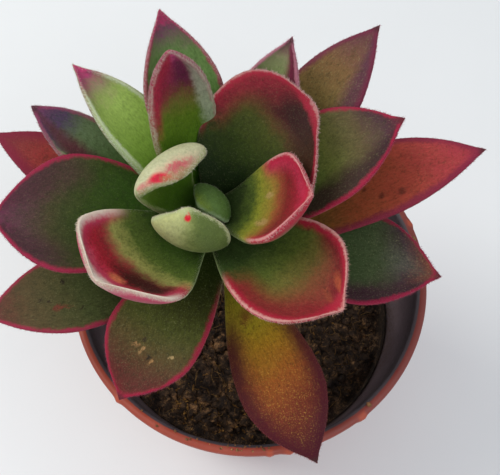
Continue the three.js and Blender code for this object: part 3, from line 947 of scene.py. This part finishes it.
def makeSoil():
    edge = wallRadius(soil["level"]) - pot["wall"] - soil["gap"]
    profile = [
        (0, pot["floor"] + soil["gap"]), (pot["foot"] - 2.4, pot["floor"] + soil["gap"]),
        (wallRadius(3.6) - pot["wall"] - soil["gap"] - 0.1, 3.6), (edge, soil["level"] - 0.2),
    ]
    rings = 62
    profile = divided(profile, 6) + [
        (edge * (1 - i / rings), soil["level"]) for i in range(rings + 1)]
    bm = bmesh.new()
    spun(bm, profile, soil["steps"])
    for vert in bm.verts:
        x, y, z = vert.co / mm
        if z > soil["level"] - 0.01:
            r = math.hypot(x, y)
            rough = noise.fractal(Vector((x, y, 3)) * 0.4, 0.8, 2.1, 4) * 1.3
            crumb = noise.noise(Vector((x, y, 9)) * 1.6) * 0.5
            z = soilHeight(x, y) + rough + crumb
            reach = (wallRadius(z) - pot["wall"] - soil["topGap"]) / edge
            grow = mixed(1, reach, eased(r, edge * 0.9, edge))
            vert.co = Vector((x * grow, y * grow, z)) * mm
    bmesh.ops.recalc_face_normals(bm, faces=bm.faces)
    peat = soilMaterial("peat", (36, 30, 28), (146, 114, 86), 0.4)
    body = finishMesh("soil_body", bm, [peat])
    dress(body, "peat", "soil")
    return body


def chunkShapes(count, seed, fineness, slim=1):
    shapes = []
    chooser = random.Random(seed)
    for i in range(count):
        bm = bmesh.new()
        bmesh.ops.create_icosphere(bm, subdivisions=fineness, radius=0.5)
        stretch = (1, chooser.uniform(0.5, 0.9) * slim, chooser.uniform(0.35, 0.8) * slim)
        bmesh.ops.scale(bm, verts=bm.verts, vec=stretch)
        for vert in bm.verts:
            bulge = noise.noise(vert.co * 3.2 + Vector((i * 7.1, seed, 0)))
            vert.co *= 1 + 0.55 * bulge
        shapes.append(finishMesh("chunk_%d" % i, bm, [], smooth=False))
    return shapes


def fibreShapes(count, seed):
    shapes = []
    for i in range(count):
        bm = bmesh.new()
        bmesh.ops.create_cone(bm, segments=3, radius1=0.024, radius2=0.013, depth=1, cap_ends=True)
        long = [e for e in bm.edges if abs(e.verts[0].co.z - e.verts[1].co.z) > 0.5]
        bmesh.ops.subdivide_edges(bm, edges=long, cuts=5)
        for vert in bm.verts:
            place = Vector((vert.co.z * 1.7, i * 5.3, seed))
            vert.co.x += 0.22 * noise.noise(place)
            vert.co.y += 0.22 * noise.noise(place + Vector((0, 0, 9)))
        bmesh.ops.rotate(bm, verts=bm.verts, cent=(0, 0, 0),
                         matrix=Matrix.Rotation(math.pi / 2, 3, "Y"))
        shapes.append(finishMesh("fibre_%d" % i, bm, [], smooth=True))
    return shapes


def soilTop(body):
    # only the open surface of the soil carries crumbs
    bm = bmesh.new()
    bm.from_mesh(body.data)
    low = [f for f in bm.faces if f.normal.z < 0.3 or f.calc_center_median().z < 30 * mm]
    bmesh.ops.delete(bm, geom=low, context="FACES")
    # golden husks have gathered at the front, by the wall
    husky = bm.verts.layers.float.new("husky")
    room = bm.verts.layers.float.new("room")
    for vert in bm.verts:
        x, y, z = vert.co / mm
        clump = 0.5 + noise.noise(Vector((x, y, 4)) * 0.35)
        near = eased(math.hypot(x, y), 20, 36) * eased(-y, 8, 26) * eased(x, 12, -6)
        vert[husky] = clump * (0.06 + near)
        clear = wallRadius(z) - pot["wall"] - math.hypot(x, y)
        vert[room] = min(1, max(0.12, clear / soil["reach"]))
    return finishMesh("soil_top", bm, [])


def makeCrumbs(body):
    top = soilTop(body)
    chunks, grit = chunkShapes(6, 4, 2), chunkShapes(5, 9, 1)
    chips = chunkShapes(5, 17, 2, 0.4)
    fibres = fibreShapes(6, 8)
    darkPeat = soilMaterial("peat_crumbs", (44, 36, 33), (182, 136, 92), 0.5)
    straw = soilMaterial("peat_fibres", (100, 72, 42), (218, 172, 104), 0.8)
    golden = soilMaterial("peat_husks", (116, 80, 42), (226, 170, 88), 0.7)
    coarse = scatter("soil_chunks", top, chunks, [darkPeat], {
        "seed": 5, "perMm2": soil["chunks"], "size": (0.9, 4.4), "sizeBy": "room"})
    fine = scatter("soil_grit", top, grit, [darkPeat], {
        "seed": 15, "perMm2": 0.8, "size": (0.3, 0.9)})
    threads = scatter("soil_fibres", top, fibres, [straw], {
        "seed": 25, "perMm2": soil["fibres"], "size": (2.0, 7.0), "sizeBy": "room"})
    husks = scatter("soil_husks", top, chips, [golden], {
        "seed": 35, "perMm2": soil["husks"], "shareBy": "husky", "size": (1.0, 2.8),
        "sizeBy": "room"})
    for piece in (coarse, fine, threads, husks):
        dress(piece, "peat")
        print(piece.name, len(piece.data.polygons))
    bpy.data.objects.remove(top)
    dropShapes(chunks + grit + chips + fibres)
    print("soil done")


def makeLipCrumbs():
    # peat and husk caught on the front of the lip, with two dark crumbs on the right
    chooser = random.Random(31)
    marks = [(chooser.gauss(-96, 12), chooser.uniform(0.25, 0.7)) for _ in range(34)]
    marks += [(-49.3, 1.3), (14, 1.5), (-136, 0.8), (-120, 0.7)]
    bm = bmesh.new()
    for i, (around, size) in enumerate(marks):
        known = set(bm.verts)
        bmesh.ops.create_icosphere(bm, subdivisions=1, radius=size * mm / 2)
        grown = [v for v in bm.verts if v not in known]
        for vert in grown:
            vert.co *= 1 + 0.6 * noise.noise(vert.co / mm * 2.3 + Vector((i * 3.1, 0, 0)))
        angle = math.radians(around)
        out = pot["rim"] - chooser.uniform(0.8, 2.1)
        place = Vector((math.cos(angle) * out, math.sin(angle) * out, pot["height"])) * mm
        place.z += (size * 0.28 - 0.15) * mm
        bmesh.ops.translate(bm, verts=grown, vec=place)
    crumbs = soilMaterial("lip_crumbs", (100, 64, 42), (216, 166, 108), 0.6)
    dress(finishMesh("lip_crumbs", bm, [crumbs], smooth=False), "peat")
    print("lip crumbs done")


def makeStem():
    profile = [
        (0, stem["bottom"]), (stem["radius"] - 0.6, stem["bottom"]),
        (stem["radius"], stem["bottom"] + 1.5), (stemRadiusAt(88), 88),
        (stemRadiusAt(96), 96), (stemRadiusAt(stem["top"] - 1), stem["top"] - 1),
        (stemRadiusAt(stem["top"]) * 0.6, stem["top"] - 0.3), (0, stem["top"]),
    ]
    bm = bmesh.new()
    scarred = bm.verts.layers.float.new("scar")
    spun(bm, divided(profile, 0.5), stem["sides"])
    turnOf = math.radians(137.5)
    scars = [(i * turnOf, mixed(50, 90, i / stem["scars"])) for i in range(stem["scars"])]
    for vert in bm.verts:
        x, y, z = vert.co / mm
        r, angle = math.hypot(x, y), math.atan2(y, x)
        grown = 0
        for around, height in scars:
            aside = math.atan2(math.sin(angle - around), math.cos(angle - around)) * r
            away = math.hypot(aside / 2.4, (z - height) / 1.0)
            grown += 0.45 * eased(away, 1.0, 0.55) - 0.25 * eased(away, 0.55, 0.2)
            vert[scarred] = max(vert[scarred], eased(away, 1.0, 0.6))
        bark = noise.fractal(Vector((x, y, z * 0.35)) * 0.9, 0.7, 2, 4)
        axis = stemAxis(z)
        if r > 0.5:
            grow = 1 + (grown + stem["bark"] * bark) / r * (1 if z < 92 else 0.3)
            x, y = x * grow, y * grow
        vert.co = Vector((x + axis.x, y + axis.y, z)) * mm
    bmesh.ops.recalc_face_normals(bm, faces=bm.faces)
    material, net, surface = newMaterial("stem_bark", {"Specular IOR Level": 0.3})
    coarse = net.grain(2.5, 4, 0.6, stretch=(1, 1, 0.4))
    fine = net.grain(0.5, 3, 0.6)
    height = net.parts(net.place())[2]
    bark = net.ramp(coarse, [(0.3, (62, 46, 34)), (0.55, (104, 82, 58)), (0.75, (138, 118, 88))])
    scar = net.attribute("scar")
    bark = net.mix(net.soft(scar + (fine - 0.5) * 0.5, 0.2, 0.9) * 0.45, bark, rgb(160, 138, 106))
    green = net.ramp(coarse, [(0.3, (84, 92, 48)), (0.7, (118, 124, 74))])
    feed(net, surface, {
        "Base Color": net.mix(net.soft(height + (coarse - 0.5) * 0.02, 0.074, 0.096), bark, green),
        "Roughness": net.soft(fine, 0.3, 0.7) * 0.2 + 0.7,
        "Normal": bump(net, coarse + fine * 0.6, 0.3),
    })
    piece = finishMesh("stem_bark", bm, [material])
    dress(piece, "stem_bark", "stem")
    print("stem done")


studio = {
    "floor": (231, 234, 236), "sky": (231, 234, 237), "skyStrength": 0.76,
    "lights": [
        {"place": (-380, 120, 520), "aim": (0, 0, 80), "size": 360, "power": 2.05,
         "colour": (255, 252, 245)},
        {"place": (240, -260, 480), "aim": (0, 0, 80), "size": 420, "power": 0.75,
         "colour": (248, 249, 255)},
    ],
}


def makeStudio():
    bm = bmesh.new()
    bmesh.ops.create_grid(bm, x_segments=40, y_segments=40, size=5)
    material, net, surface = newMaterial("floor_paper", {"Specular IOR Level": 0.1})
    base = rgb(*studio["floor"])
    shade = tuple(part * 0.97 for part in base[:3]) + (1.0,)
    feed(net, surface, {
        "Base Color": net.mix(net.grain(30, 2), base, shade),
        "Roughness": net.grain(8, 2) * 0.1 + 0.8,
    })
    floor = finishMesh("floor", bm, [material])
    world = bpy.data.worlds.new("sky")
    world.use_nodes = True
    sky = world.node_tree.nodes["Background"]
    sky.inputs["Color"].default_value = rgb(*studio["sky"])
    sky.inputs["Strength"].default_value = studio["skyStrength"]
    bpy.context.scene.world = world
    for i, light in enumerate(studio["lights"]):
        data = bpy.data.lights.new("softbox_%d" % i, "AREA")
        data.size = light["size"] * mm
        data.energy = light["power"]
        data.color = rgb(*light["colour"])[:3]
        made = bpy.data.objects.new("softbox_%d" % i, data)
        made.location = Vector(light["place"]) * mm
        toward = Vector(light["aim"]) * mm - made.location
        made.rotation_euler = toward.to_track_quat("-Z", "Y").to_euler()
        bpy.context.scene.collection.objects.link(made)
    bpy.context.scene.view_settings.view_transform = "Standard"
    print("studio done")


makeCamera()
makeStudio()
makePot()
soilBody = makeSoil()
makeCrumbs(soilBody)
makeLipCrumbs()
makeStem()
makeLeaves()
